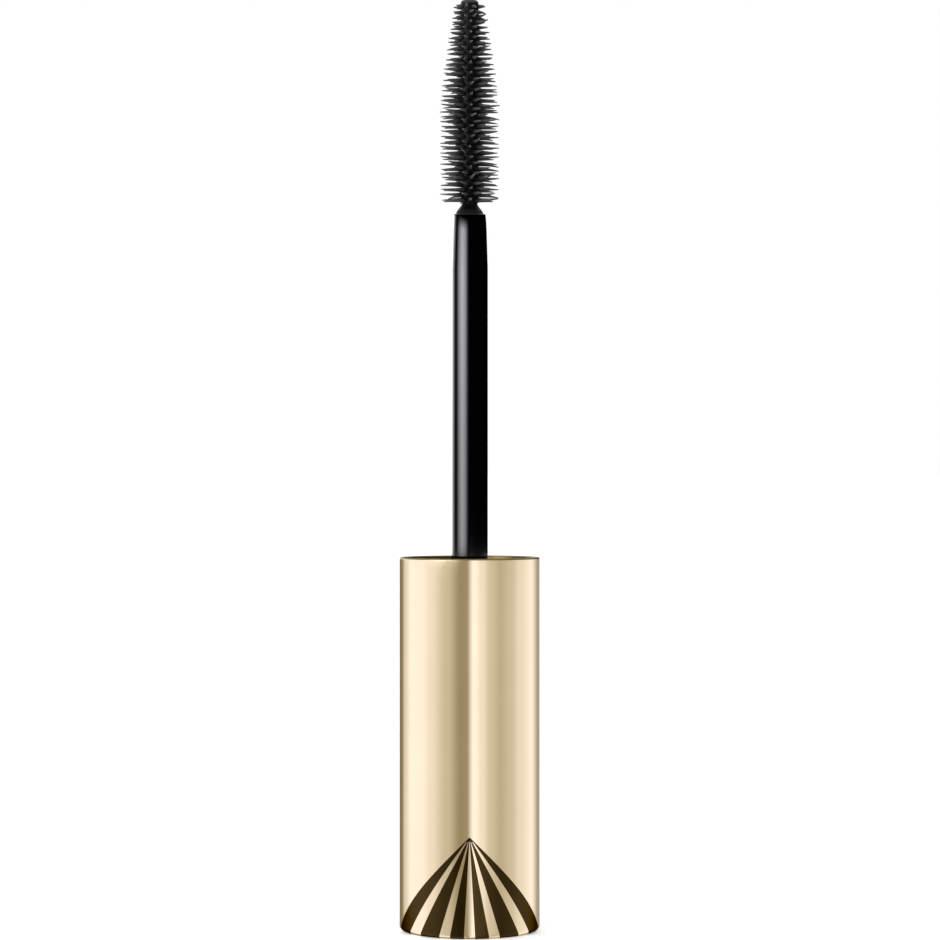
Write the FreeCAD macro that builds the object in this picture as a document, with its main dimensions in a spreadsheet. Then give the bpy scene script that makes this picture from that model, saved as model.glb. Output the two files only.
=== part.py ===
"""Mascara wand: a metal cap shell, its threaded inner cap, the rod, and a moulded two-shot brush.

Millimetres. +Z runs up the wand, from the cap's closed end, where the wand stands, to the brush's tip.
The origin is the centre of that closed end. +Y points away from the front.
"""
import FreeCAD, Part
import math
import os

import Sketcher

SIZES = {
    # cap shell, deep drawn from aluminium
    "cap_radius": 9.0,
    "cap_height": 47.9,
    "shell_wall": 0.5,
    "shell_floor": 0.6,
    "base_edge_radius": 0.7,
    "rim_edge_radius": 0.16,
    # inner cap, moulded, pressed into the shell on its ribs
    "mouth_recess": 1.5,
    "liner_wall": 0.8,
    "liner_inset": 0.4,
    "mouth_thickness": 1.1,
    "press_rib_count": 12,
    "press_rib_width": 0.9,
    "press_rib_start": 26.0,
    "press_rib_end": 43.0,
    "skirt_length": 22.0,
    "socket_radius": 5.6,
    "socket_wall": 1.0,
    "socket_depth": 13.0,
    "ceiling": 1.2,
    "thread_pitch": 2.0,
    "thread_turns": 1.5,
    "thread_depth": 0.55,
    "thread_root_width": 1.1,
    "thread_crest_width": 0.5,
    "thread_inset": 2.2,
    # rod, moulded, snapped into the inner cap's boss
    "boss_wall": 1.1,
    "boss_length": 9.0,
    "spigot_radius": 2.0,
    "spigot_length": 8.6,
    "spigot_bead": 0.2,
    "spigot_bead_drop": 5.6,
    "spigot_bead_width": 1.4,
    "flange_radius": 4.6,
    "flange_thickness": 1.2,
    "plug_root_radius": 3.4,
    "plug_tip_radius": 3.0,
    "plug_length": 2.6,
    "rod_radius": 2.345,
    "rod_taper_start": 85.0,
    "rod_tip_radius": 2.15,
    "rod_top": 92.0,
    "rod_edge_radius": 0.25,
    "tang_bore_radius": 1.1,
    "tang_bore_depth": 9.2,
    "snap_groove_radius": 1.26,
    "snap_groove_width": 1.1,
    "snap_drop": 6.4,
    # brush core, the stiffer first shot
    "tang_clearance": 0.02,
    "tang_length": 9.0,
    "collar_radius": 1.73,
    "collar_height": 0.25,
    "neck_radius": 1.05,
    "neck_height": 1.35,
    "core_radius": 0.7,
    "core_top": 118.3,
    # bristles, the soft second shot, a sleeve with rows of cones
    "sleeve_radius": 1.07,
    "brush_top": 119.5,
    "dome_height": 0.7,
    "row_count": 18,
    "row_turn": 5.0,
    "bristle_pitch": 1.337,
    "first_bristle": 93.75,
    "last_bristle": 118.6,
    "bristle_root_radius": 0.185,
    "bristle_tip_radius": 0.06,
    "bristle_sink": 0.25,
    "brush_radius": 3.93,
    "brush_end_radius": 2.1,
    "crown_start": 105.9,
    "crown_power": 1.15,
}

UP = FreeCAD.Vector(0, 0, 1)
TOLERANCE = 1e-4

# heights and radii that several sub-parts share, as expressions over the sizes
MOUTH = "cap_height - mouth_recess"
CEILING_FACE = "cap_height - mouth_recess - socket_depth"
LINER_RADIUS = "cap_radius - shell_wall - liner_inset"
BEAD_MIDDLE = f"{CEILING_FACE} - spigot_bead_drop"


def make_sheet(doc):
    """The driving dimensions, one alias to each value."""
    sheet = doc.addObject("Spreadsheet::Sheet", "Sizes")
    for row, (name, value) in enumerate(SIZES.items(), start=1):
        sheet.set(f"A{row}", name)
        sheet.set(f"B{row}", str(value))
        sheet.setAlias(f"B{row}", name)
    doc.recompute()
    return sheet


def full(expression):
    """An expression over the size names, with each name turned into a reference to the sheet."""
    words = expression.replace("(", " ( ").replace(")", " ) ").split()
    return " ".join(f"Sizes.{word}" if word in SIZES else word for word in words)


def new_body(doc, label):
    body = doc.addObject("PartDesign::Body", label)
    body.Label = label
    body.Placement = FreeCAD.Placement()
    return body


def plane_of(body, role):
    for feature in body.Origin.OriginFeatures:
        if feature.Role == role:
            return feature
    raise LookupError(role)


def new_sketch(body, name, role):
    sketch = body.newObject("Sketcher::SketchObject", name)
    sketch.AttachmentSupport = [(plane_of(body, role), "")]
    sketch.MapMode = "FlatFace"
    return sketch


def pin_corner(sketch, line, corner):
    """Hold the start of a line at a place given by two expressions, measured from the sketch's origin."""
    for kind, axis, expression in (("DistanceX", -2, corner[0]), ("DistanceY", -1, corner[1])):
        if expression == "0":
            sketch.addConstraint(Sketcher.Constraint("PointOnObject", line, 1, axis))
            continue
        value = float(sketch.evalExpression(full(expression)))
        index = sketch.addConstraint(Sketcher.Constraint(kind, -1, 1, line, 1, value))
        sketch.setExpression(f"Constraints[{index}]", full(expression))


def draw_outline(sketch, corners):
    """A closed outline of straight lines through corners whose places are expressions."""
    places = []
    for across, along in corners:
        places.append(FreeCAD.Vector(sketch.evalExpression(full(across)), sketch.evalExpression(full(along)), 0))
    count = len(places)
    for index in range(count):
        sketch.addGeometry(Part.LineSegment(places[index], places[(index + 1) % count]), False)
    for index in range(count):
        sketch.addConstraint(Sketcher.Constraint("Coincident", index, 2, (index + 1) % count, 1))
    for index, corner in enumerate(corners):
        pin_corner(sketch, index, corner)


def revolve(body, name, corners, kind="PartDesign::Revolution"):
    """Turn an outline of (radius, height) corners round the wand's axis."""
    sketch = new_sketch(body, f"{name}_outline", "XZ_Plane")
    draw_outline(sketch, corners)
    feature = body.newObject(kind, name)
    feature.Profile = sketch
    feature.ReferenceAxis = (sketch, ["V_Axis"])
    feature.Angle = 360.0
    body.Document.recompute()
    return feature


def ring_edges(feature, radius, height):
    """Names of the circular edges of one radius at one height."""
    names = []
    for index, edge in enumerate(feature.Shape.Edges, start=1):
        curve = edge.Curve
        if not isinstance(curve, Part.Circle):
            continue
        if abs(curve.Radius - radius) < TOLERANCE and abs(curve.Center.z - height) < TOLERANCE:
            names.append(f"Edge{index}")
    if not names:
        raise LookupError(f"no edge of radius {radius} at {height}")
    return names


def round_edges(body, name, base, rings, radius):
    """Fillet the circular edges listed as (radius, height) expressions."""
    names = []
    for across, along in rings:
        place = [float(base.evalExpression(full(expression))) for expression in (across, along)]
        names += ring_edges(base, *place)
    fillet = body.newObject("PartDesign::Fillet", name)
    fillet.Base = (base, names)
    fillet.setExpression("Radius", full(radius))
    body.Document.recompute()
    return fillet


def make_cap_shell(doc):
    body = new_body(doc, "cap_shell")
    inside = "cap_radius - shell_wall"
    cup = revolve(body, "cup", [
        ("0", "0"),
        ("cap_radius", "0"),
        ("cap_radius", "cap_height"),
        (inside, "cap_height"),
        (inside, "shell_floor"),
        ("0", "shell_floor"),
    ])
    rounded = round_edges(body, "base_edge", cup, [("cap_radius", "0")], "base_edge_radius")
    rim = [("cap_radius", "cap_height"), (inside, "cap_height")]
    round_edges(body, "rim_edges", rounded, rim, "rim_edge_radius")
    return body


def add_press_ribs(doc, body):
    """Lengthwise ribs that grip the bore of the shell."""
    sketch = new_sketch(body, "press_rib_outline", "XY_Plane")
    sketch.AttachmentOffset = FreeCAD.Placement(FreeCAD.Vector(0, 0, 1), FreeCAD.Rotation())
    sketch.setExpression("AttachmentOffset.Base.z", full("press_rib_start"))
    inner = f"{LINER_RADIUS} - liner_wall / 2"
    outer = "cap_radius - shell_wall - 0.02"
    half = "press_rib_width / 2"
    draw_outline(sketch, [
        (inner, f"-1 * {half}"),
        (outer, f"-1 * {half}"),
        (outer, half),
        (inner, half),
    ])
    rib = body.newObject("PartDesign::Pad", "press_rib")
    rib.Profile = sketch
    rib.setExpression("Length", full("press_rib_end - press_rib_start"))
    doc.recompute()
    ribs = body.newObject("PartDesign::PolarPattern", "press_ribs")
    ribs.Originals = [rib]
    ribs.Axis = (plane_of(body, "Z_Axis"), [""])
    ribs.Angle = 360.0
    ribs.setExpression("Occurrences", full("press_rib_count"))
    body.Tip = ribs
    doc.recompute()


def add_thread(doc, body):
    """The inner cap's thread, one and a half turns that stand in from the socket's wall."""
    sketch = new_sketch(body, "thread_outline", "XZ_Plane")
    root = "socket_radius + socket_wall / 5"
    crest = "socket_radius - thread_depth"
    middle = f"{MOUTH} - thread_inset - thread_pitch * thread_turns"
    draw_outline(sketch, [
        (root, f"{middle} - thread_root_width / 2"),
        (root, f"{middle} + thread_root_width / 2"),
        (crest, f"{middle} + thread_crest_width / 2"),
        (crest, f"{middle} - thread_crest_width / 2"),
    ])
    thread = body.newObject("PartDesign::AdditiveHelix", "thread")
    thread.Profile = sketch
    thread.ReferenceAxis = (sketch, ["V_Axis"])
    thread.Mode = 0
    thread.setExpression("Pitch", full("thread_pitch"))
    thread.setExpression("Height", full("thread_pitch * thread_turns"))
    thread.Angle = 0
    thread.LeftHanded = False
    body.Tip = thread
    doc.recompute()


def make_inner_cap(doc):
    body = new_body(doc, "inner_cap")
    skirt_inside = f"{LINER_RADIUS} - liner_wall"
    socket_outside = "socket_radius + socket_wall"
    boss_outside = "spigot_radius + boss_wall"
    ceiling_back = f"{CEILING_FACE} - ceiling"
    skirt_end = f"{MOUTH} - skirt_length"
    revolve(body, "liner", [
        (LINER_RADIUS, skirt_end),
        (LINER_RADIUS, MOUTH),
        ("socket_radius", MOUTH),
        ("socket_radius", CEILING_FACE),
        ("spigot_radius", CEILING_FACE),
        ("spigot_radius", f"{BEAD_MIDDLE} + spigot_bead_width / 2"),
        ("spigot_radius + spigot_bead", BEAD_MIDDLE),
        ("spigot_radius", f"{BEAD_MIDDLE} - spigot_bead_width / 2"),
        ("spigot_radius", f"{CEILING_FACE} - boss_length"),
        (boss_outside, f"{CEILING_FACE} - boss_length"),
        (boss_outside, ceiling_back),
        (socket_outside, ceiling_back),
        (socket_outside, f"{MOUTH} - mouth_thickness"),
        (skirt_inside, f"{MOUTH} - mouth_thickness"),
        (skirt_inside, skirt_end),
    ])
    add_press_ribs(doc, body)
    add_thread(doc, body)
    return body


def make_rod(doc):
    body = new_body(doc, "rod")
    flange_top = f"{CEILING_FACE} + flange_thickness"
    stick = revolve(body, "stick", [
        ("0", f"{CEILING_FACE} - spigot_length"),
        ("spigot_radius", f"{CEILING_FACE} - spigot_length"),
        ("spigot_radius", f"{BEAD_MIDDLE} - spigot_bead_width / 2"),
        ("spigot_radius + spigot_bead", BEAD_MIDDLE),
        ("spigot_radius", f"{BEAD_MIDDLE} + spigot_bead_width / 2"),
        ("spigot_radius", CEILING_FACE),
        ("flange_radius", CEILING_FACE),
        ("flange_radius", flange_top),
        ("plug_root_radius", flange_top),
        ("plug_tip_radius", f"{flange_top} + plug_length"),
        ("rod_radius", f"{flange_top} + plug_length"),
        ("rod_radius", "rod_taper_start"),
        ("rod_tip_radius", "rod_top"),
        ("0", "rod_top"),
    ])
    tip = [("rod_tip_radius", "rod_top")]
    rounded = round_edges(body, "tip_edge", stick, tip, "rod_edge_radius")
    before = rounded.Shape.Volume
    snap = "rod_top - snap_drop"
    bore = revolve(body, "tang_bore", [
        ("0", "rod_top"),
        ("tang_bore_radius", "rod_top"),
        ("tang_bore_radius", f"{snap} + snap_groove_width / 2"),
        ("snap_groove_radius", f"{snap} + snap_groove_width / 4"),
        ("snap_groove_radius", f"{snap} - snap_groove_width / 4"),
        ("tang_bore_radius", f"{snap} - snap_groove_width / 2"),
        ("tang_bore_radius", "rod_top - tang_bore_depth"),
        ("0", "rod_top - tang_bore_depth"),
    ], kind="PartDesign::Groove")
    if bore.Shape.Volume >= before:
        raise ValueError("the tang's bore cuts nothing")
    return body


def make_brush_core(doc):
    """The stiff first shot: a tang snapped into the rod, a coned collar, and a thin core inside the sleeve."""
    body = new_body(doc, "brush_core")
    tang = "tang_bore_radius - tang_clearance"
    bead = "snap_groove_radius - tang_clearance"
    snap = "rod_top - snap_drop"
    bead_half = "( snap_groove_width / 4 - tang_clearance )"
    ramp_half = "( snap_groove_width / 2 - tang_clearance )"
    neck = "rod_top + neck_height"
    revolve(body, "core", [
        ("0", "rod_top - tang_length"),
        (tang, "rod_top - tang_length"),
        (tang, f"{snap} - {ramp_half}"),
        (bead, f"{snap} - {bead_half}"),
        (bead, f"{snap} + {bead_half}"),
        (tang, f"{snap} + {ramp_half}"),
        (tang, "rod_top"),
        ("collar_radius", "rod_top"),
        ("collar_radius", "rod_top + collar_height"),
        ("neck_radius", neck),
        ("core_radius", neck),
        ("core_radius", "core_top"),
        ("0", "core_top"),
    ])
    return body


def front_turned(turn):
    """The direction out of the front, turned about the axis towards the right."""
    return FreeCAD.Vector(math.sin(turn), -math.cos(turn), 0)


def envelope_radius(sheet, height):
    """Radius of the brush's outline: straight sides, then a crown that draws in to the tip."""
    if height <= sheet.crown_start:
        return sheet.brush_radius
    share = (height - sheet.crown_start) / (sheet.last_bristle - sheet.crown_start)
    return sheet.brush_radius - (sheet.brush_radius - sheet.brush_end_radius) * share ** sheet.crown_power


def sleeve_shape(sheet):
    """The sleeve over the core: a prism with a flat side under each row, closed by a dome at the tip."""
    bottom = FreeCAD.Vector(0, 0, sheet.rod_top + sheet.neck_height)
    shoulder = FreeCAD.Vector(0, 0, sheet.brush_top - sheet.dome_height)
    rows = int(sheet.row_count)
    corner_radius = sheet.sleeve_radius / math.cos(math.pi / rows)
    corners = []
    for row in range(rows + 1):
        turn = math.radians(sheet.row_turn + 360 / rows * (row + 0.5))
        corners.append(bottom + front_turned(turn) * corner_radius)
    prism = Part.Face(Part.makePolygon(corners)).extrude(shoulder - bottom)
    ball = (sheet.sleeve_radius ** 2 + sheet.dome_height ** 2) / (2 * sheet.dome_height)
    half = math.asin(sheet.sleeve_radius / ball) / 2
    dome_start = shoulder + FreeCAD.Vector(sheet.sleeve_radius, 0, 0)
    dome_top = FreeCAD.Vector(0, 0, sheet.brush_top)
    dome_middle = dome_top + FreeCAD.Vector(ball * math.sin(half), 0, ball * (math.cos(half) - 1))
    arc = Part.Arc(dome_start, dome_middle, dome_top).toShape()
    sides = Part.makePolygon([dome_top, shoulder, dome_start]).Edges
    dome = Part.Face(Part.Wire([arc] + sides)).revolve(FreeCAD.Vector(0, 0, 0), UP, 360)
    core = Part.makeCylinder(sheet.core_radius, sheet.core_top - bottom.z, bottom)
    return prism.fuse(dome).cut(core)


def bristle_shape(sheet, turn, height):
    """One cone, from just under the sleeve's surface out to the brush's outline."""
    outwards = front_turned(turn)
    start = sheet.sleeve_radius - sheet.bristle_sink
    length = envelope_radius(sheet, height) - start
    root = outwards * start + FreeCAD.Vector(0, 0, height)
    return Part.makeCone(sheet.bristle_root_radius, sheet.bristle_tip_radius, length, root, outwards)


def make_bristles(doc, sheet):
    """The soft second shot. Neighbouring rows are staggered by half a pitch."""
    rows = int(sheet.row_count)
    cones = []
    for row in range(rows):
        turn = math.radians(sheet.row_turn + 360 / rows * row)
        height = sheet.first_bristle + sheet.bristle_pitch / 2 * (row % 2)
        while height <= sheet.last_bristle:
            cones.append(bristle_shape(sheet, turn, height))
            height += sheet.bristle_pitch
    feature = doc.addObject("Part::Feature", "bristles")
    feature.Label = "bristles"
    feature.Shape = sleeve_shape(sheet).multiFuse(cones)
    feature.Placement = FreeCAD.Placement()
    return feature


def check_objects(doc, parts):
    """Stop on any failed object, and on any sub-part that isn't one sound solid."""
    for item in doc.Objects:
        if "Invalid" in item.State or "Error" in item.State:
            raise RuntimeError(f"{item.Name} failed: {item.State}")
    for item in parts:
        if item.Shape.isNull() or not item.Shape.isValid() or len(item.Shape.Solids) != 1:
            raise RuntimeError(f"{item.Label} isn't one valid solid")


def main():
    doc = FreeCAD.newDocument("mascara_wand")
    sheet = make_sheet(doc)
    parts = [
        make_cap_shell(doc),
        make_inner_cap(doc),
        make_rod(doc),
        make_brush_core(doc),
        make_bristles(doc, sheet),
    ]
    doc.recompute()
    check_objects(doc, parts)
    os.makedirs("parts", exist_ok=True)
    for item in parts:
        item.Shape.exportStep(f"parts/{item.Label}.step")
        print(f"{item.Label}: {item.Shape.Volume:.1f} cubic mm")


main()
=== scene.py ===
"""Mascara wand: mirror-gold cap with a printed fan, glossy black rod and a moulded black brush."""

import math
import random

import bmesh
import bpy
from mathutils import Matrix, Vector


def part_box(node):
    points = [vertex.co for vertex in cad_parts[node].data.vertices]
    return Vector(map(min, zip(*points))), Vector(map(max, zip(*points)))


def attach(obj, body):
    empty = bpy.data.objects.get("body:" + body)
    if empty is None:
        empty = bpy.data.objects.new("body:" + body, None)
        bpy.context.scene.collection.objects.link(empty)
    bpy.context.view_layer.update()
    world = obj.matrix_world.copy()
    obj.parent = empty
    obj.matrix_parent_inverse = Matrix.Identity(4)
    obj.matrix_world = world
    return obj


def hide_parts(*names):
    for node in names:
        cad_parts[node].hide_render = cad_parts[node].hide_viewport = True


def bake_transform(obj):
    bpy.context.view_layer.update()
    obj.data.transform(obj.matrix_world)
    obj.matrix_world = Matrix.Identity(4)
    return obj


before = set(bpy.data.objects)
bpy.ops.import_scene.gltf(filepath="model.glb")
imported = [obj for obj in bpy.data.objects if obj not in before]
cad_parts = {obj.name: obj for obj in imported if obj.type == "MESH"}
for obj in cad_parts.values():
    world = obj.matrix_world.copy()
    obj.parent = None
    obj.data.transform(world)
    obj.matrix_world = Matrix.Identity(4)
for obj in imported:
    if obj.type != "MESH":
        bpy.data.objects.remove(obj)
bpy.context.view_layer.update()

MM = 0.001

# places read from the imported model
cap_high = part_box("cap_shell")[1]
rod_low, rod_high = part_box("rod")
CAP_RADIUS = cap_high.y
RIM_Z = cap_high.z
ROD_FOOT_Z = rod_low.z
ROD_TOP_Z = rod_high.z
BRUSH_TOP_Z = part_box("bristles")[1].z

# turned meshes: a run longer than this gets support rings this far inside its ends
HOLD_RUN = 0.3 * MM
HOLD_INSET = 0.015 * MM

# cap shell
SHELL_WALL = 0.5 * MM
SHELL_FLOOR = 0.6 * MM
BASE_EDGE = 0.7 * MM
RIM_EDGE = 0.16 * MM

# the cap's polish fades, and its colour darkens as painted shade, between these depths from its outside, and
# this far below the lip's rounding
POLISH_AND_SHADE_DEPTH = (0.003 * MM, 0.06 * MM)
POLISH_AND_SHADE_DROP = 0.03 * MM
# the dark gold of that painted shade inside the mouth and on the lip
PAINTED_SHADE_GOLD = (0.2, 0.145, 0.065, 1)

# printed fan: each dark ray's two edges in degrees from straight down at the apex, and the degrees that the rays
# go round the foot's edge
FAN_APEX_Z = 12.9 * MM
FAN_RAYS = ((3.2, 11.3), (17.5, 28.8), (35.6, 45.0))
FAN_SOLID_TIP = 0.6 * MM
FAN_WRAP = 80.0
FAN_ROWS = 60
FAN_EDGE_ROWS = 8
FAN_COLUMNS = 16
PRINT_LIFT = 0.012 * MM
PRINT_SINK = 0.02 * MM

# rod: straight, then a taper (radius lost per length), then a crown (radius lost per square of length, in mm)
ROD_RADIUS = 2.345 * MM
ROD_TAPER_Z = 85.0 * MM
ROD_TAPER = 0.03
ROD_CROWN_Z = 89.8 * MM
ROD_CROWN = 0.018
ROD_EDGE = 0.2 * MM
ROD_SOFT_EDGE = 0.12 * MM
SEAT_Z = 33.4 * MM
FLANGE_RADIUS = 4.6 * MM
FLANGE_HEIGHT = 1.2 * MM
PLUG_ROOT = 3.4 * MM
PLUG_TIP = 3.0 * MM
PLUG_HEIGHT = 2.6 * MM
SPIGOT_RADIUS = 2.0 * MM
TANG_BORE = 1.1 * MM
TANG_DEPTH = 9.0 * MM
TANG_GAP = 0.02 * MM

# brush: the stations are shares of a bristle's length, and its cap is (share, part of the tip's radius)
COLLAR_RADIUS = 1.75 * MM
COLLAR_EDGE = 0.05 * MM
COLLAR_LIFT = 0.06 * MM
COLLAR_OVERLAP = 0.1 * MM
NECK_RADIUS = 1.0 * MM
NECK_Z = 93.35 * MM
CORE_RADIUS = 1.15 * MM
TIP_EDGE = 0.42 * MM
TIP_DOME = 0.01 * MM
# the sleeve's blunt end is shaded like this share of a bristle: lighter than the painted shade on the rest of
# the sleeve
TIP_REACH = 0.33
ROWS = 18
ROW_TURN = 5.0
PITCH = 1.343 * MM
FIRST_BRISTLE = 93.78 * MM
LAST_BRISTLE = 118.7 * MM
BRISTLE_ROOT = 0.3 * MM
BRISTLE_TIP = 0.06 * MM
BRISTLE_SINK = 0.2 * MM
BRISTLE_FLARE = 0.12 * MM
BRISTLE_FLARE_SHARE = 0.05
BRISTLE_STATIONS = (0.0, 0.06, 0.12, 0.22, 0.4, 0.6, 0.8, 0.93, 0.975)
BRISTLE_CAP = ((0.99, 0.75), (0.998, 0.4))
BRISTLE_SIDES = 10
BRUSH_RADIUS = 3.93 * MM
BRUSH_END_RADIUS = 2.1 * MM
BRUSH_FOOT_DRAW = 0.1 * MM
CROWN_Z = 105.9 * MM
CROWN_POWER = 1.15

# how far single bristles stray from their places
SEED = 11
TURN_SPREAD = 1.8
PLACE_SPREAD = 0.05 * MM
LENGTH_SPREAD = 0.045
THICK_SPREAD = 0.08
LEAN_UP = 0.11 * MM
LEAN_SIDE = 0.14 * MM

# camera (the sensor and the lens in mm) and floor (its half side in metres)
CAMERA_PLACE = (0.055 * MM, -417 * MM, 59.1 * MM)
CAMERA_SENSOR = 36
CAMERA_LENS = 124.2
FLOOR_HALF = 30.0
FLOOR_GAP = 0.02 * MM

# studio: (azimuth from the front in degrees, brightness) of the light panels below and above eye level
LOW_PANELS = (
    (-180, 0.22), (-150, 0.25), (-128, 0.85), (-112, 1.12), (-86, 1.1), (-66, 0.93), (-38, 0.64), (-14, 0.34),
    (-5, 0.36), (7, 1.16), (20, 0.95), (35, 0.68), (52, 0.55), (71, 0.66), (92, 0.88), (122, 1.06),
    (150, 0.44), (180, 0.26),
)
LOW_FULL = 1.2
HIGH_PANELS = (
    (-180, 3.0), (-140, 5.0), (-122, 2.6), (-106, 0.1), (-97, 0.0), (-88, 0.1), (-79, 2.4), (-64, 8.7),
    (-50, 13.8), (-36, 11.2), (-23, 6.5), (-14, 0.6), (-5, 0.0), (6, 0.0), (180, 0.0),
)
HIGH_FULL = 14.0
CEILING = (1.05, 1.05, 1.05, 1)
BACKDROP = (1.0, 1.0, 1.0, 1)

# elevations in degrees between which each part of the studio gives way to the next
EYE_LEVEL = (-1.53, -1.47)
STRIP_GROWTH = (-1, 4)
STRIP_GAIN = (0.84, 1.23)
STRIP_FADE = (14.0, 5.8)
CEILING_START = (17, 24)


# ---------------------------------------------------------------- meshes

def arc(centre, radius, start, end, steps):
    """Points of a circle's arc as (across, up), with angles in degrees from across."""
    points = []
    for step in range(steps + 1):
        angle = math.radians(start + (end - start) * step / steps)
        points.append((centre[0] + radius * math.cos(angle), centre[1] + radius * math.sin(angle)))
    return points


def add_object(name, bm, sharp_angle=40.0):
    """A smooth-shaded object from a bmesh, with hard edges kept above an angle."""
    bmesh.ops.recalc_face_normals(bm, faces=bm.faces)
    mesh = bpy.data.meshes.new(name)
    bm.to_mesh(mesh)
    bm.free()
    mesh.shade_smooth()
    mesh.set_sharp_from_angle(angle=math.radians(sharp_angle))
    obj = bpy.data.objects.new(name, mesh)
    bpy.context.scene.collection.objects.link(obj)
    return obj


def ring(bm, radius, z, segments):
    """A ring of vertices round the axis, or a single one on it."""
    if radius < 1e-9:
        return [bm.verts.new((0, 0, z))]
    made = []
    for step in range(segments):
        angle = 2 * math.pi * step / segments
        made.append(bm.verts.new((radius * math.cos(angle), radius * math.sin(angle), z)))
    return made


def bridge(bm, lower, upper):
    """Faces between two rings, either of which may be a single vertex."""
    count = max(len(lower), len(upper))
    for step in range(count):
        after = (step + 1) % count
        if len(lower) == 1:
            bm.faces.new((lower[0], upper[after], upper[step]))
        elif len(upper) == 1:
            bm.faces.new((lower[step], lower[after], upper[0]))
        else:
            bm.faces.new((lower[step], lower[after], upper[after], upper[step]))


def hold_edges(outline):
    """The outline with points added just inside both ends of every long run, so it shades flat."""
    held = [outline[0]]
    for (r0, z0), (r1, z1) in zip(outline, outline[1:]):
        run = math.hypot(r1 - r0, z1 - z0)
        if run > HOLD_RUN:
            for share in (HOLD_INSET / run, 1 - HOLD_INSET / run):
                held.append((r0 + (r1 - r0) * share, z0 + (z1 - z0) * share))
        held.append((r1, z1))
    return held


def lathe(bm, outline, segments):
    """A closed turned body from (radius, height) points that start and end on the axis."""
    rings = [ring(bm, radius, z, segments) for radius, z in hold_edges(outline)]
    for lower, upper in zip(rings, rings[1:]):
        bridge(bm, lower, upper)


def make_shell():
    """The drawn cup: closed and rounded at the foot, open and rounded at the rim."""
    inside = CAP_RADIUS - SHELL_WALL
    outline = [(0, 0), (CAP_RADIUS * 0.5, 0)]
    outline += arc((CAP_RADIUS - BASE_EDGE, BASE_EDGE), BASE_EDGE, -90, 0, 12)
    outline += [(CAP_RADIUS, BASE_EDGE + (RIM_Z - BASE_EDGE) * share) for share in (0.1, 0.5, 0.9)]
    outline += arc((CAP_RADIUS - RIM_EDGE, RIM_Z - RIM_EDGE), RIM_EDGE, 0, 90, 8)
    outline += arc((inside + RIM_EDGE, RIM_Z - RIM_EDGE), RIM_EDGE, 90, 180, 8)
    outline += [(inside, RIM_Z * 0.9), (inside, SHELL_FLOOR + BASE_EDGE)]
    outline += arc((inside - BASE_EDGE, SHELL_FLOOR + BASE_EDGE), BASE_EDGE, 0, -90, 6)
    outline += [(0, SHELL_FLOOR)]
    bm = bmesh.new()
    lathe(bm, outline, 256)
    return add_object("cap_shell_finish", bm)


def wall_point(drop, slope, lift, facing):
    """A place on the cap's wall, drop below the fan's apex along the surface and off to the side by slope."""
    turn = drop * slope / CAP_RADIUS + facing
    straight = FAN_APEX_Z - BASE_EDGE
    if drop <= straight:
        radius, z = CAP_RADIUS + lift, FAN_APEX_Z - drop
    else:
        bend = (drop - straight) / BASE_EDGE
        radius = CAP_RADIUS - BASE_EDGE + (BASE_EDGE + lift) * math.cos(bend)
        z = BASE_EDGE - (BASE_EDGE + lift) * math.sin(bend)
    return Vector((radius * math.sin(turn), -radius * math.cos(turn), z))


def closed_sheet(bm, outer, inner):
    """A thin closed sheet from two grids of places of the same size."""
    grids = [[[bm.verts.new(place) for place in line] for line in grid] for grid in (outer, inner)]
    rows, columns = len(outer), len(outer[0])
    for grid in grids:
        for row in range(rows - 1):
            for column in range(columns - 1):
                bm.faces.new((
                    grid[row][column], grid[row][column + 1],
                    grid[row + 1][column + 1], grid[row + 1][column],
                ))
    border = [(0, column) for column in range(columns)]
    border += [(row, columns - 1) for row in range(1, rows)]
    border += [(rows - 1, column) for column in range(columns - 2, -1, -1)]
    border += [(row, 0) for row in range(rows - 2, 0, -1)]
    for place, after in zip(border, border[1:] + border[:1]):
        first, second = (grids[0][place[0]][place[1]], grids[0][after[0]][after[1]])
        third, fourth = (grids[1][after[0]][after[1]], grids[1][place[0]][place[1]])
        bm.faces.new((first, second, third, fourth))


def add_print_patch(bm, drops, left, right, facing, columns):
    """A patch of lacquer between two straight lines that leave the apex at left and right, in degrees."""
    slopes = []
    for column in range(columns + 1):
        share = column / columns
        slopes.append(math.tan(math.radians(left)) * (1 - share) + math.tan(math.radians(right)) * share)
    grids = []
    for lift in (PRINT_LIFT, -PRINT_SINK):
        grids.append([[wall_point(drop, slope, lift, facing) for slope in slopes] for drop in drops])
    closed_sheet(bm, *grids)


def make_print(name, facing):
    """One fan: a solid tip, then three dark rays on each side, down to the base's edge."""
    bend = FAN_APEX_Z - BASE_EDGE
    bottom = bend + BASE_EDGE * math.radians(FAN_WRAP)
    bm = bmesh.new()
    tip = [FAN_SOLID_TIP * share for share in (0.04, 0.35, 0.7, 1)]
    widest = FAN_RAYS[-1][1]
    add_print_patch(bm, tip, -widest, widest, facing, 12)
    drops = [FAN_SOLID_TIP + (bend - FAN_SOLID_TIP) * step / FAN_ROWS for step in range(FAN_ROWS + 1)]
    drops += [bend + (bottom - bend) * step / FAN_EDGE_ROWS for step in range(1, FAN_EDGE_ROWS + 1)]
    for near, far in FAN_RAYS:
        add_print_patch(bm, drops, -far, -near, facing, FAN_COLUMNS)
        add_print_patch(bm, drops, near, far, facing, FAN_COLUMNS)
    return add_object(name, bm)


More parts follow.
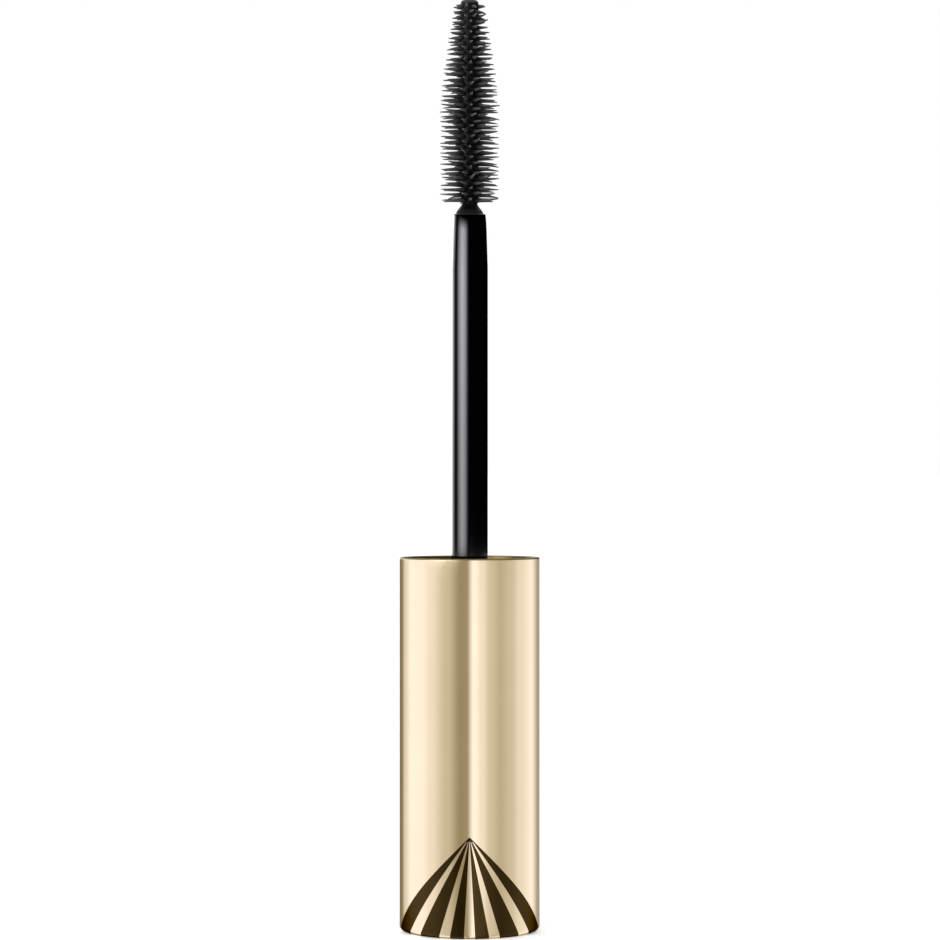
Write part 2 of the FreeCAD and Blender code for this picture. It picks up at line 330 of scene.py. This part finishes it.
def make_rod():
    """The rod with its spigot, flange and plug at the foot, and its bore for the brush at the top."""
    flange_top = SEAT_Z + FLANGE_HEIGHT
    plug_top = flange_top + PLUG_HEIGHT
    soft = ROD_SOFT_EDGE
    outline = [(0, ROD_FOOT_Z), (SPIGOT_RADIUS - soft, ROD_FOOT_Z), (SPIGOT_RADIUS, ROD_FOOT_Z + soft)]
    outline += [(SPIGOT_RADIUS, SEAT_Z), (FLANGE_RADIUS - soft, SEAT_Z), (FLANGE_RADIUS, SEAT_Z + soft)]
    outline += [(FLANGE_RADIUS, flange_top - soft), (FLANGE_RADIUS - soft, flange_top)]
    outline += [(PLUG_ROOT, flange_top), (PLUG_TIP, plug_top - soft), (PLUG_TIP - soft, plug_top)]
    outline += arc((ROD_RADIUS + soft * 2, plug_top + soft * 2), soft * 2, 270, 180, 4)
    outline += [(ROD_RADIUS, plug_top + (ROD_TAPER_Z - plug_top) * share) for share in (0.3, 0.6, 0.9, 1)]
    steps = 28
    for step in range(1, steps + 1):
        up = (ROD_TOP_Z - ROD_EDGE - ROD_TAPER_Z) * step / steps
        crown = max(0.0, ROD_TAPER_Z + up - ROD_CROWN_Z)
        radius = ROD_RADIUS - ROD_TAPER * up - ROD_CROWN * crown * crown / MM
        outline.append((radius, ROD_TAPER_Z + up))
    tip = outline[-1][0]
    outline += arc((tip - ROD_EDGE, ROD_TOP_Z - ROD_EDGE), ROD_EDGE, 15, 90, 6)
    outline += [(TANG_BORE, ROD_TOP_Z), (TANG_BORE, ROD_TOP_Z - TANG_DEPTH), (0, ROD_TOP_Z - TANG_DEPTH)]
    bm = bmesh.new()
    lathe(bm, outline, 128)
    return add_object("rod_finish", bm)


def make_brush_core():
    """The tang, and the coned collar that flares from the core down to the rod."""
    tang = TANG_BORE - TANG_GAP
    foot = ROD_TOP_Z - TANG_DEPTH + TANG_GAP
    seat = ROD_TOP_Z + TANG_GAP
    outline = [(0, foot), (tang, foot), (tang, seat), (COLLAR_RADIUS - COLLAR_EDGE, seat)]
    start = ROD_TOP_Z + COLLAR_LIFT
    steps = 16
    for step in range(steps + 1):
        share = step / steps
        fall = share * share * (3 - 2 * share)
        radius = COLLAR_RADIUS + (NECK_RADIUS - COLLAR_RADIUS) * (0.25 * share + 0.75 * fall)
        outline.append((radius, start + (NECK_Z - start) * share))
    outline += [(NECK_RADIUS * 0.7, NECK_Z + COLLAR_OVERLAP), (0, NECK_Z + COLLAR_OVERLAP)]
    bm = bmesh.new()
    lathe(bm, outline, 64)
    return add_object("brush_collar", bm)


def outline_radius(z):
    """Radius of the brush's outline: almost straight sides, then a crown that draws in to the tip."""
    if z <= CROWN_Z:
        return BRUSH_RADIUS - BRUSH_FOOT_DRAW * (CROWN_Z - z) / (CROWN_Z - FIRST_BRISTLE)
    share = (z - CROWN_Z) / (LAST_BRISTLE - CROWN_Z)
    return BRUSH_RADIUS - (BRUSH_RADIUS - BRUSH_END_RADIUS) * share ** CROWN_POWER


def bristle_ring(bm, centre, side, up, radius):
    """A ring of vertices round a bristle's own axis."""
    made = []
    for step in range(BRISTLE_SIDES):
        angle = 2 * math.pi * step / BRISTLE_SIDES
        made.append(bm.verts.new(centre + side * radius * math.cos(angle) + up * radius * math.sin(angle)))
    return made


def add_bristle(bm, reach, turn, z, rng):
    """One moulded bristle: a wide foot, a long taper, a slight bend and a rounded end."""
    turn += math.radians(rng.gauss(0, TURN_SPREAD))
    z += rng.gauss(0, PLACE_SPREAD)
    out = Vector((math.sin(turn), -math.cos(turn), 0))
    side = Vector((math.cos(turn), math.sin(turn), 0))
    up = Vector((0, 0, 1))
    start = CORE_RADIUS - BRISTLE_SINK
    length = outline_radius(z) * (1 + rng.uniform(-LENGTH_SPREAD, 0.0)) - start
    lean = up * rng.gauss(0, LEAN_UP) + side * rng.gauss(0, LEAN_SIDE)
    thick = 1 + rng.uniform(-THICK_SPREAD, THICK_SPREAD)
    root = out * start + up * z
    tip = root + out * length + lean

    rings = [(0.0, [bm.verts.new(root - out * BRISTLE_SINK / 4)])]
    for share in BRISTLE_STATIONS:
        radius = thick * (BRISTLE_TIP + (BRISTLE_ROOT - BRISTLE_TIP) * (1 - share))
        radius += BRISTLE_FLARE * math.exp(-share / BRISTLE_FLARE_SHARE)
        centre = root + out * length * share + lean * share * share
        rings.append((share, bristle_ring(bm, centre, side, up, radius)))
    for share, shrink in BRISTLE_CAP:
        centre = tip - out * length * (1 - share)
        rings.append((1.0, bristle_ring(bm, centre, side, up, BRISTLE_TIP * shrink)))
    rings.append((1.0, [bm.verts.new(tip)]))

    # each ring keeps its share of the bristle's length, which the material turns into painted shade at the root
    # and painted light at the tip
    for share, line in rings:
        for vertex in line:
            vertex[reach] = share
    for (_, lower), (_, upper) in zip(rings, rings[1:]):
        bridge(bm, lower, upper)


def make_bristles():
    """The sleeve with its blunt round end, and rows of bristles all round, staggered by half a pitch."""
    rng = random.Random(SEED)
    bm = bmesh.new()
    reach = bm.verts.layers.float.new("reach")
    foot = NECK_Z - TANG_GAP
    outline = [(0, foot), (NECK_RADIUS * 0.98, foot)]
    steps = 24
    for step in range(steps + 1):
        share = step / steps
        z = NECK_Z + (BRUSH_TOP_Z - TIP_EDGE - NECK_Z) * share
        outline.append((NECK_RADIUS + (CORE_RADIUS - NECK_RADIUS) * min(1.0, share * 4), z))
    outline += arc((CORE_RADIUS - TIP_EDGE, BRUSH_TOP_Z - TIP_EDGE), TIP_EDGE, 10, 84, 8)
    outline += [(CORE_RADIUS * 0.3, BRUSH_TOP_Z - TIP_DOME), (0, BRUSH_TOP_Z)]
    lathe(bm, outline, 48)
    # the sleeve between the bristles gets the roots' painted shade, and its blunt end a lighter share of it
    for vertex in bm.verts:
        vertex[reach] = TIP_REACH if vertex.co.z > BRUSH_TOP_Z - TIP_EDGE else 0.0
    for row in range(ROWS):
        turn = math.radians(ROW_TURN + 360 / ROWS * row)
        z = FIRST_BRISTLE + PITCH / 2 * (row % 2)
        while z <= LAST_BRISTLE:
            add_bristle(bm, reach, turn, z, rng)
            z += PITCH
    return add_object("bristle_moulding", bm, 60.0)


# ---------------------------------------------------------------- node helpers

def math_node(tree, operation, *inputs):
    """A Math node of one operation over sockets or numbers."""
    node = tree.nodes.new("ShaderNodeMath")
    node.operation = operation
    for socket, value in zip(node.inputs, inputs):
        if isinstance(value, (int, float)):
            socket.default_value = value
        else:
            tree.links.new(value, socket)
    return node.outputs[0]


def smooth_step(tree, source, start, end, low=0.0, high=1.0):
    """A smooth change from low to high as the source goes from start to end."""
    node = tree.nodes.new("ShaderNodeMapRange")
    node.interpolation_type = "SMOOTHSTEP"
    for name, value in (("From Min", start), ("From Max", end), ("To Min", low), ("To Max", high)):
        node.inputs[name].default_value = value
    tree.links.new(source, node.inputs["Value"])
    return node.outputs["Result"]


def mix_colours(tree, factor, first, second):
    """A mix of two colours, each a socket or a value."""
    node = tree.nodes.new("ShaderNodeMix")
    node.data_type = "RGBA"
    tree.links.new(factor, node.inputs["Factor"])
    for name, value in (("A", first), ("B", second)):
        socket = [s for s in node.inputs if s.name == name and s.type == "RGBA"][0]
        if isinstance(value, tuple):
            socket.default_value = value
        else:
            tree.links.new(value, socket)
    return [s for s in node.outputs if s.type == "RGBA"][0]


def scale_colour(tree, colour, scale):
    """A colour times a number or a socket."""
    node = tree.nodes.new("ShaderNodeVectorMath")
    node.operation = "SCALE"
    tree.links.new(colour, node.inputs[0])
    if isinstance(scale, float):
        node.inputs["Scale"].default_value = scale
    else:
        tree.links.new(scale, node.inputs["Scale"])
    return node.outputs["Vector"]


# ---------------------------------------------------------------- materials

def new_material(name, colour, metallic, roughness):
    """A material and its shader. A texture can drive its colour and roughness afterwards."""
    material = bpy.data.materials.new(name)
    material.use_nodes = True
    shader = material.node_tree.nodes["Principled BSDF"]
    shader.inputs["Base Color"].default_value = (*colour, 1)
    shader.inputs["Metallic"].default_value = metallic
    shader.inputs["Roughness"].default_value = roughness
    return material, shader


def add_noise(material, scale, detail, stretch=(1, 1, 1)):
    """Object-space noise, stretched along the axes."""
    nodes, links = material.node_tree.nodes, material.node_tree.links
    coordinates = nodes.new("ShaderNodeTexCoord")
    mapping = nodes.new("ShaderNodeMapping")
    mapping.inputs["Scale"].default_value = stretch
    noise = nodes.new("ShaderNodeTexNoise")
    noise.inputs["Scale"].default_value = scale
    noise.inputs["Detail"].default_value = detail
    links.new(coordinates.outputs["Object"], mapping.inputs["Vector"])
    links.new(mapping.outputs["Vector"], noise.inputs["Vector"])
    return noise.outputs["Fac"]


def drive_roughness(material, shader, source, low, high):
    """Roughness that follows a noise between two values."""
    nodes, links = material.node_tree.nodes, material.node_tree.links
    spread = nodes.new("ShaderNodeMapRange")
    spread.inputs["From Min"].default_value = 0.3
    spread.inputs["From Max"].default_value = 0.7
    spread.inputs["To Min"].default_value = low
    spread.inputs["To Max"].default_value = high
    links.new(source, spread.inputs["Value"])
    links.new(spread.outputs["Result"], shader.inputs["Roughness"])


def drive_colour(material, shader, source, dark, light):
    """Colour that follows a noise between two colours."""
    nodes, links = material.node_tree.nodes, material.node_tree.links
    ramp = nodes.new("ShaderNodeValToRGB")
    ramp.color_ramp.elements[0].position = 0.35
    ramp.color_ramp.elements[0].color = (*dark, 1)
    ramp.color_ramp.elements[1].position = 0.65
    ramp.color_ramp.elements[1].color = (*light, 1)
    links.new(source, ramp.inputs["Fac"])
    links.new(ramp.outputs["Color"], shader.inputs["Base Color"])
    return ramp.outputs["Color"]


def drive_bump(material, shader, source, strength, distance):
    """Fine relief that follows a noise."""
    nodes, links = material.node_tree.nodes, material.node_tree.links
    bump = nodes.new("ShaderNodeBump")
    bump.inputs["Strength"].default_value = strength
    bump.inputs["Distance"].default_value = distance
    links.new(source, bump.inputs["Height"])
    links.new(bump.outputs["Normal"], shader.inputs["Normal"])


def gold_material():
    """Polished anodised aluminium with faint drawing lines along it, rougher at the lip and inside, and darkened
    there as painted shade.
    """
    material, shader = new_material("gold_anodised", (0.95, 0.79, 0.58), 1.0, 0.02)
    tree = material.node_tree
    cloud = add_noise(material, 90, 2)
    polished = drive_colour(material, shader, cloud, (0.94, 0.78, 0.57), (0.96, 0.80, 0.59))

    coordinates = tree.nodes.new("ShaderNodeTexCoord")
    place = tree.nodes.new("ShaderNodeSeparateXYZ")
    tree.links.new(coordinates.outputs["Object"], place.inputs[0])
    x, y, z = place.outputs
    square = math_node(tree, "MULTIPLY_ADD", y, y, math_node(tree, "POWER", x, 2.0))
    across = math_node(tree, "SQRT", square)
    inward = smooth_step(tree, across, *(CAP_RADIUS - depth for depth in POLISH_AND_SHADE_DEPTH))
    upper = smooth_step(tree, z, RIM_Z * 0.3, RIM_Z * 0.4)
    lip = smooth_step(tree, z, RIM_Z - RIM_EDGE - POLISH_AND_SHADE_DROP, RIM_Z - RIM_EDGE)
    # inside the mouth and on the lip: rougher raw metal, and a darker colour that is painted shade
    raw_and_shade = math_node(tree, "MAXIMUM", math_node(tree, "MULTIPLY", inward, upper), lip)
    tree.links.new(mix_colours(tree, raw_and_shade, polished, PAINTED_SHADE_GOLD), shader.inputs["Base Color"])

    lines = add_noise(material, 900, 3, (1, 1, 0.02))
    faint = math_node(tree, "MULTIPLY_ADD", lines, 0.015, 0.012)
    tree.links.new(math_node(tree, "MULTIPLY_ADD", raw_and_shade, 0.4, faint), shader.inputs["Roughness"])
    return material


def print_material():
    """Glossy dark bronze lacquer over the metal."""
    material, shader = new_material("bronze_lacquer", (0.048, 0.028, 0.009), 1.0, 0.06)
    cloud = add_noise(material, 220, 2)
    drive_colour(material, shader, cloud, (0.053, 0.033, 0.011), (0.062, 0.038, 0.013))
    shader.inputs["Specular Tint"].default_value = (0.4, 0.38, 0.35, 1)
    return material


def rod_material():
    """Black moulded plastic, high gloss."""
    material, shader = new_material("rod_black", (0.0005, 0.0005, 0.0005), 0.0, 0.04)
    shader.inputs["Specular IOR Level"].default_value = 0.37
    # the bluish specular tint is painted light: it gives the rod's reflections the cool tint of the light
    shader.inputs["Specular Tint"].default_value = (0.93, 0.92, 1, 1)
    cloud = add_noise(material, 300, 3)
    drive_roughness(material, shader, cloud, 0.03, 0.045)
    return material


def collar_material():
    """Black plastic of the brush's stem, satin."""
    material, shader = new_material("stem_black", (0.0012, 0.0012, 0.0012), 0.0, 0.35)
    shader.inputs["Specular IOR Level"].default_value = 0.15
    grain = add_noise(material, 3000, 3)
    drive_roughness(material, shader, grain, 0.32, 0.42)
    return material


def bristle_material():
    """Black elastomer: deep black at the roots as painted shade between the bristles, greyer towards the blunt
    bristle ends as painted light.
    """
    material, shader = new_material("bristle_elastomer", (0.02, 0.02, 0.02), 0.0, 0.4)
    nodes, links = material.node_tree.nodes, material.node_tree.links
    reach = nodes.new("ShaderNodeAttribute")
    reach.attribute_name = "reach"
    # painted shade darkens the roots and the sleeve, and painted light greys the bristle ends
    ramp = nodes.new("ShaderNodeValToRGB")
    stops = ramp.color_ramp.elements
    stops[0].position = 0.0
    stops[0].color = (0.0015, 0.0015, 0.0015, 1)
    stops[1].position = 1.0
    stops[1].color = (0.16, 0.16, 0.16, 1)
    for position, level in ((0.2, 0.01), (0.5, 0.059), (0.9, 0.08)):
        stops.new(position).color = (level, level, level, 1)
    links.new(reach.outputs["Fac"], ramp.inputs["Fac"])
    links.new(ramp.outputs["Color"], shader.inputs["Base Color"])
    shader.inputs["Specular IOR Level"].default_value = 0.15
    grain = add_noise(material, 4200, 3)
    drive_bump(material, shader, grain, 0.2, 0.01 * MM)
    speckle = math_node(material.node_tree, "MULTIPLY_ADD", grain, 0.2, 0.42)
    polish = math_node(material.node_tree, "MULTIPLY_ADD", reach.outputs["Fac"], -0.22, speckle)
    links.new(polish, shader.inputs["Roughness"])
    return material


def inner_cap_material():
    """Black polypropylene, satin."""
    material, shader = new_material("inner_cap_black", (0.02, 0.02, 0.021), 0.0, 0.45)
    grain = add_noise(material, 2500, 4)
    drive_roughness(material, shader, grain, 0.38, 0.52)
    drive_bump(material, shader, grain, 0.3, 0.01 * MM)
    return material


def floor_material():
    """A pale matt floor that glows a little, so that it stays near white."""
    material, shader = new_material("pale_floor", (0.9, 0.9, 0.9), 0.0, 0.9)
    cloud = add_noise(material, 3, 2)
    drive_colour(material, shader, cloud, (0.925, 0.925, 0.925), (0.935, 0.935, 0.935))
    shader.inputs["Emission Color"].default_value = (1, 1, 1, 1)
    shader.inputs["Emission Strength"].default_value = 0.3
    return material


# ---------------------------------------------------------------- studio

def panel_ramp(tree, azimuth_share, panels, full, interpolation, warm):
    """Light panels round the object, as a ramp over azimuth. In a warm one the dim parts are warmer."""
    ramp = tree.nodes.new("ShaderNodeValToRGB")
    stops = ramp.color_ramp
    stops.interpolation = interpolation
    for index, (azimuth, level) in enumerate(panels):
        position = (azimuth + 180) / 360
        if index < 2:
            stop = stops.elements[index]
            stop.position = position
        else:
            stop = stops.elements.new(position)
        tint = (level ** 0.1, level ** 0.45) if warm else (1, 1)
        share = level / full
        stop.color = (share, share * tint[0], share * tint[1], 1)
    tree.links.new(azimuth_share, ramp.inputs["Fac"])
    return scale_colour(tree, ramp.outputs["Color"], full)


def make_world():
    """A soft studio: tall panels seen from below eye level, one soft strip above it, and a white ceiling."""
    world = bpy.data.worlds.new("studio")
    bpy.context.scene.world = world
    world.use_nodes = True
    tree = world.node_tree
    tree.nodes.clear()
    coordinates = tree.nodes.new("ShaderNodeTexCoord")
    split = tree.nodes.new("ShaderNodeSeparateXYZ")
    tree.links.new(coordinates.outputs["Generated"], split.inputs[0])
    x, y, z = split.outputs
    azimuth = math_node(tree, "ARCTAN2", x, math_node(tree, "MULTIPLY", y, -1.0))
    share = math_node(tree, "MULTIPLY_ADD", azimuth, 0.5 / math.pi, 0.5)
    elevation = math_node(tree, "ARCSINE", z)

    low = panel_ramp(tree, share, LOW_PANELS, LOW_FULL, "EASE", warm=True)
    high = panel_ramp(tree, share, HIGH_PANELS, HIGH_FULL, "B_SPLINE", warm=False)
    growth = smooth_step(tree, elevation, *map(math.radians, STRIP_GROWTH), *STRIP_GAIN)
    fade = smooth_step(tree, elevation, *map(math.radians, STRIP_FADE))
    strip = scale_colour(tree, high, math_node(tree, "MULTIPLY", growth, fade))
    above_eye = smooth_step(tree, elevation, *map(math.radians, EYE_LEVEL))
    overhead = smooth_step(tree, elevation, *map(math.radians, CEILING_START))
    studio = mix_colours(tree, overhead, mix_colours(tree, above_eye, low, strip), CEILING)

    path = tree.nodes.new("ShaderNodeLightPath")
    background = tree.nodes.new("ShaderNodeBackground")
    seen = mix_colours(tree, path.outputs["Is Camera Ray"], studio, BACKDROP)
    tree.links.new(seen, background.inputs["Color"])
    output = tree.nodes.new("ShaderNodeOutputWorld")
    tree.links.new(background.outputs["Background"], output.inputs["Surface"])


def make_floor():
    """A wide floor just under the cap's foot."""
    bm = bmesh.new()
    bmesh.ops.create_grid(bm, x_segments=1, y_segments=1, size=FLOOR_HALF)
    floor = add_object("floor", bm)
    floor.location.z = -FLOOR_GAP
    floor.visible_glossy = False
    floor.data.materials.append(floor_material())


def make_camera():
    """Level with the middle of the wand, straight on, with a long lens."""
    data = bpy.data.cameras.new("camera")
    data.sensor_width = CAMERA_SENSOR
    data.lens = CAMERA_LENS
    data.clip_start = 0.01
    data.clip_end = 100
    camera = bpy.data.objects.new("camera", data)
    camera.location = CAMERA_PLACE
    camera.rotation_euler = (math.radians(90), 0, 0)
    bpy.context.scene.collection.objects.link(camera)
    bpy.context.scene.camera = camera


def finish_piece(piece, material):
    """The piece with one material."""
    piece.data.materials.clear()
    piece.data.materials.append(material)


def main():
    bpy.context.scene.view_settings.view_transform = "Standard"
    make_camera()
    make_world()
    make_floor()

    gold = gold_material()
    shell = make_shell()
    finish_piece(shell, gold)
    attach(shell, "wand")
    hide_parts("cap_shell")

    lacquer = print_material()
    for name, facing in (("cap_print_front", 0.0), ("cap_print_back", math.pi)):
        fan = make_print(name, facing)
        finish_piece(fan, lacquer)
        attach(fan, "wand")

    rod = make_rod()
    finish_piece(rod, rod_material())
    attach(rod, "wand")
    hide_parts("rod")

    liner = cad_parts["inner_cap"]
    finish_piece(liner, inner_cap_material())

    collar = make_brush_core()
    finish_piece(collar, collar_material())
    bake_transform(collar)
    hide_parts("brush_core")
    bristles = make_bristles()
    finish_piece(bristles, bristle_material())
    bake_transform(bristles)
    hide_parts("bristles")


main()
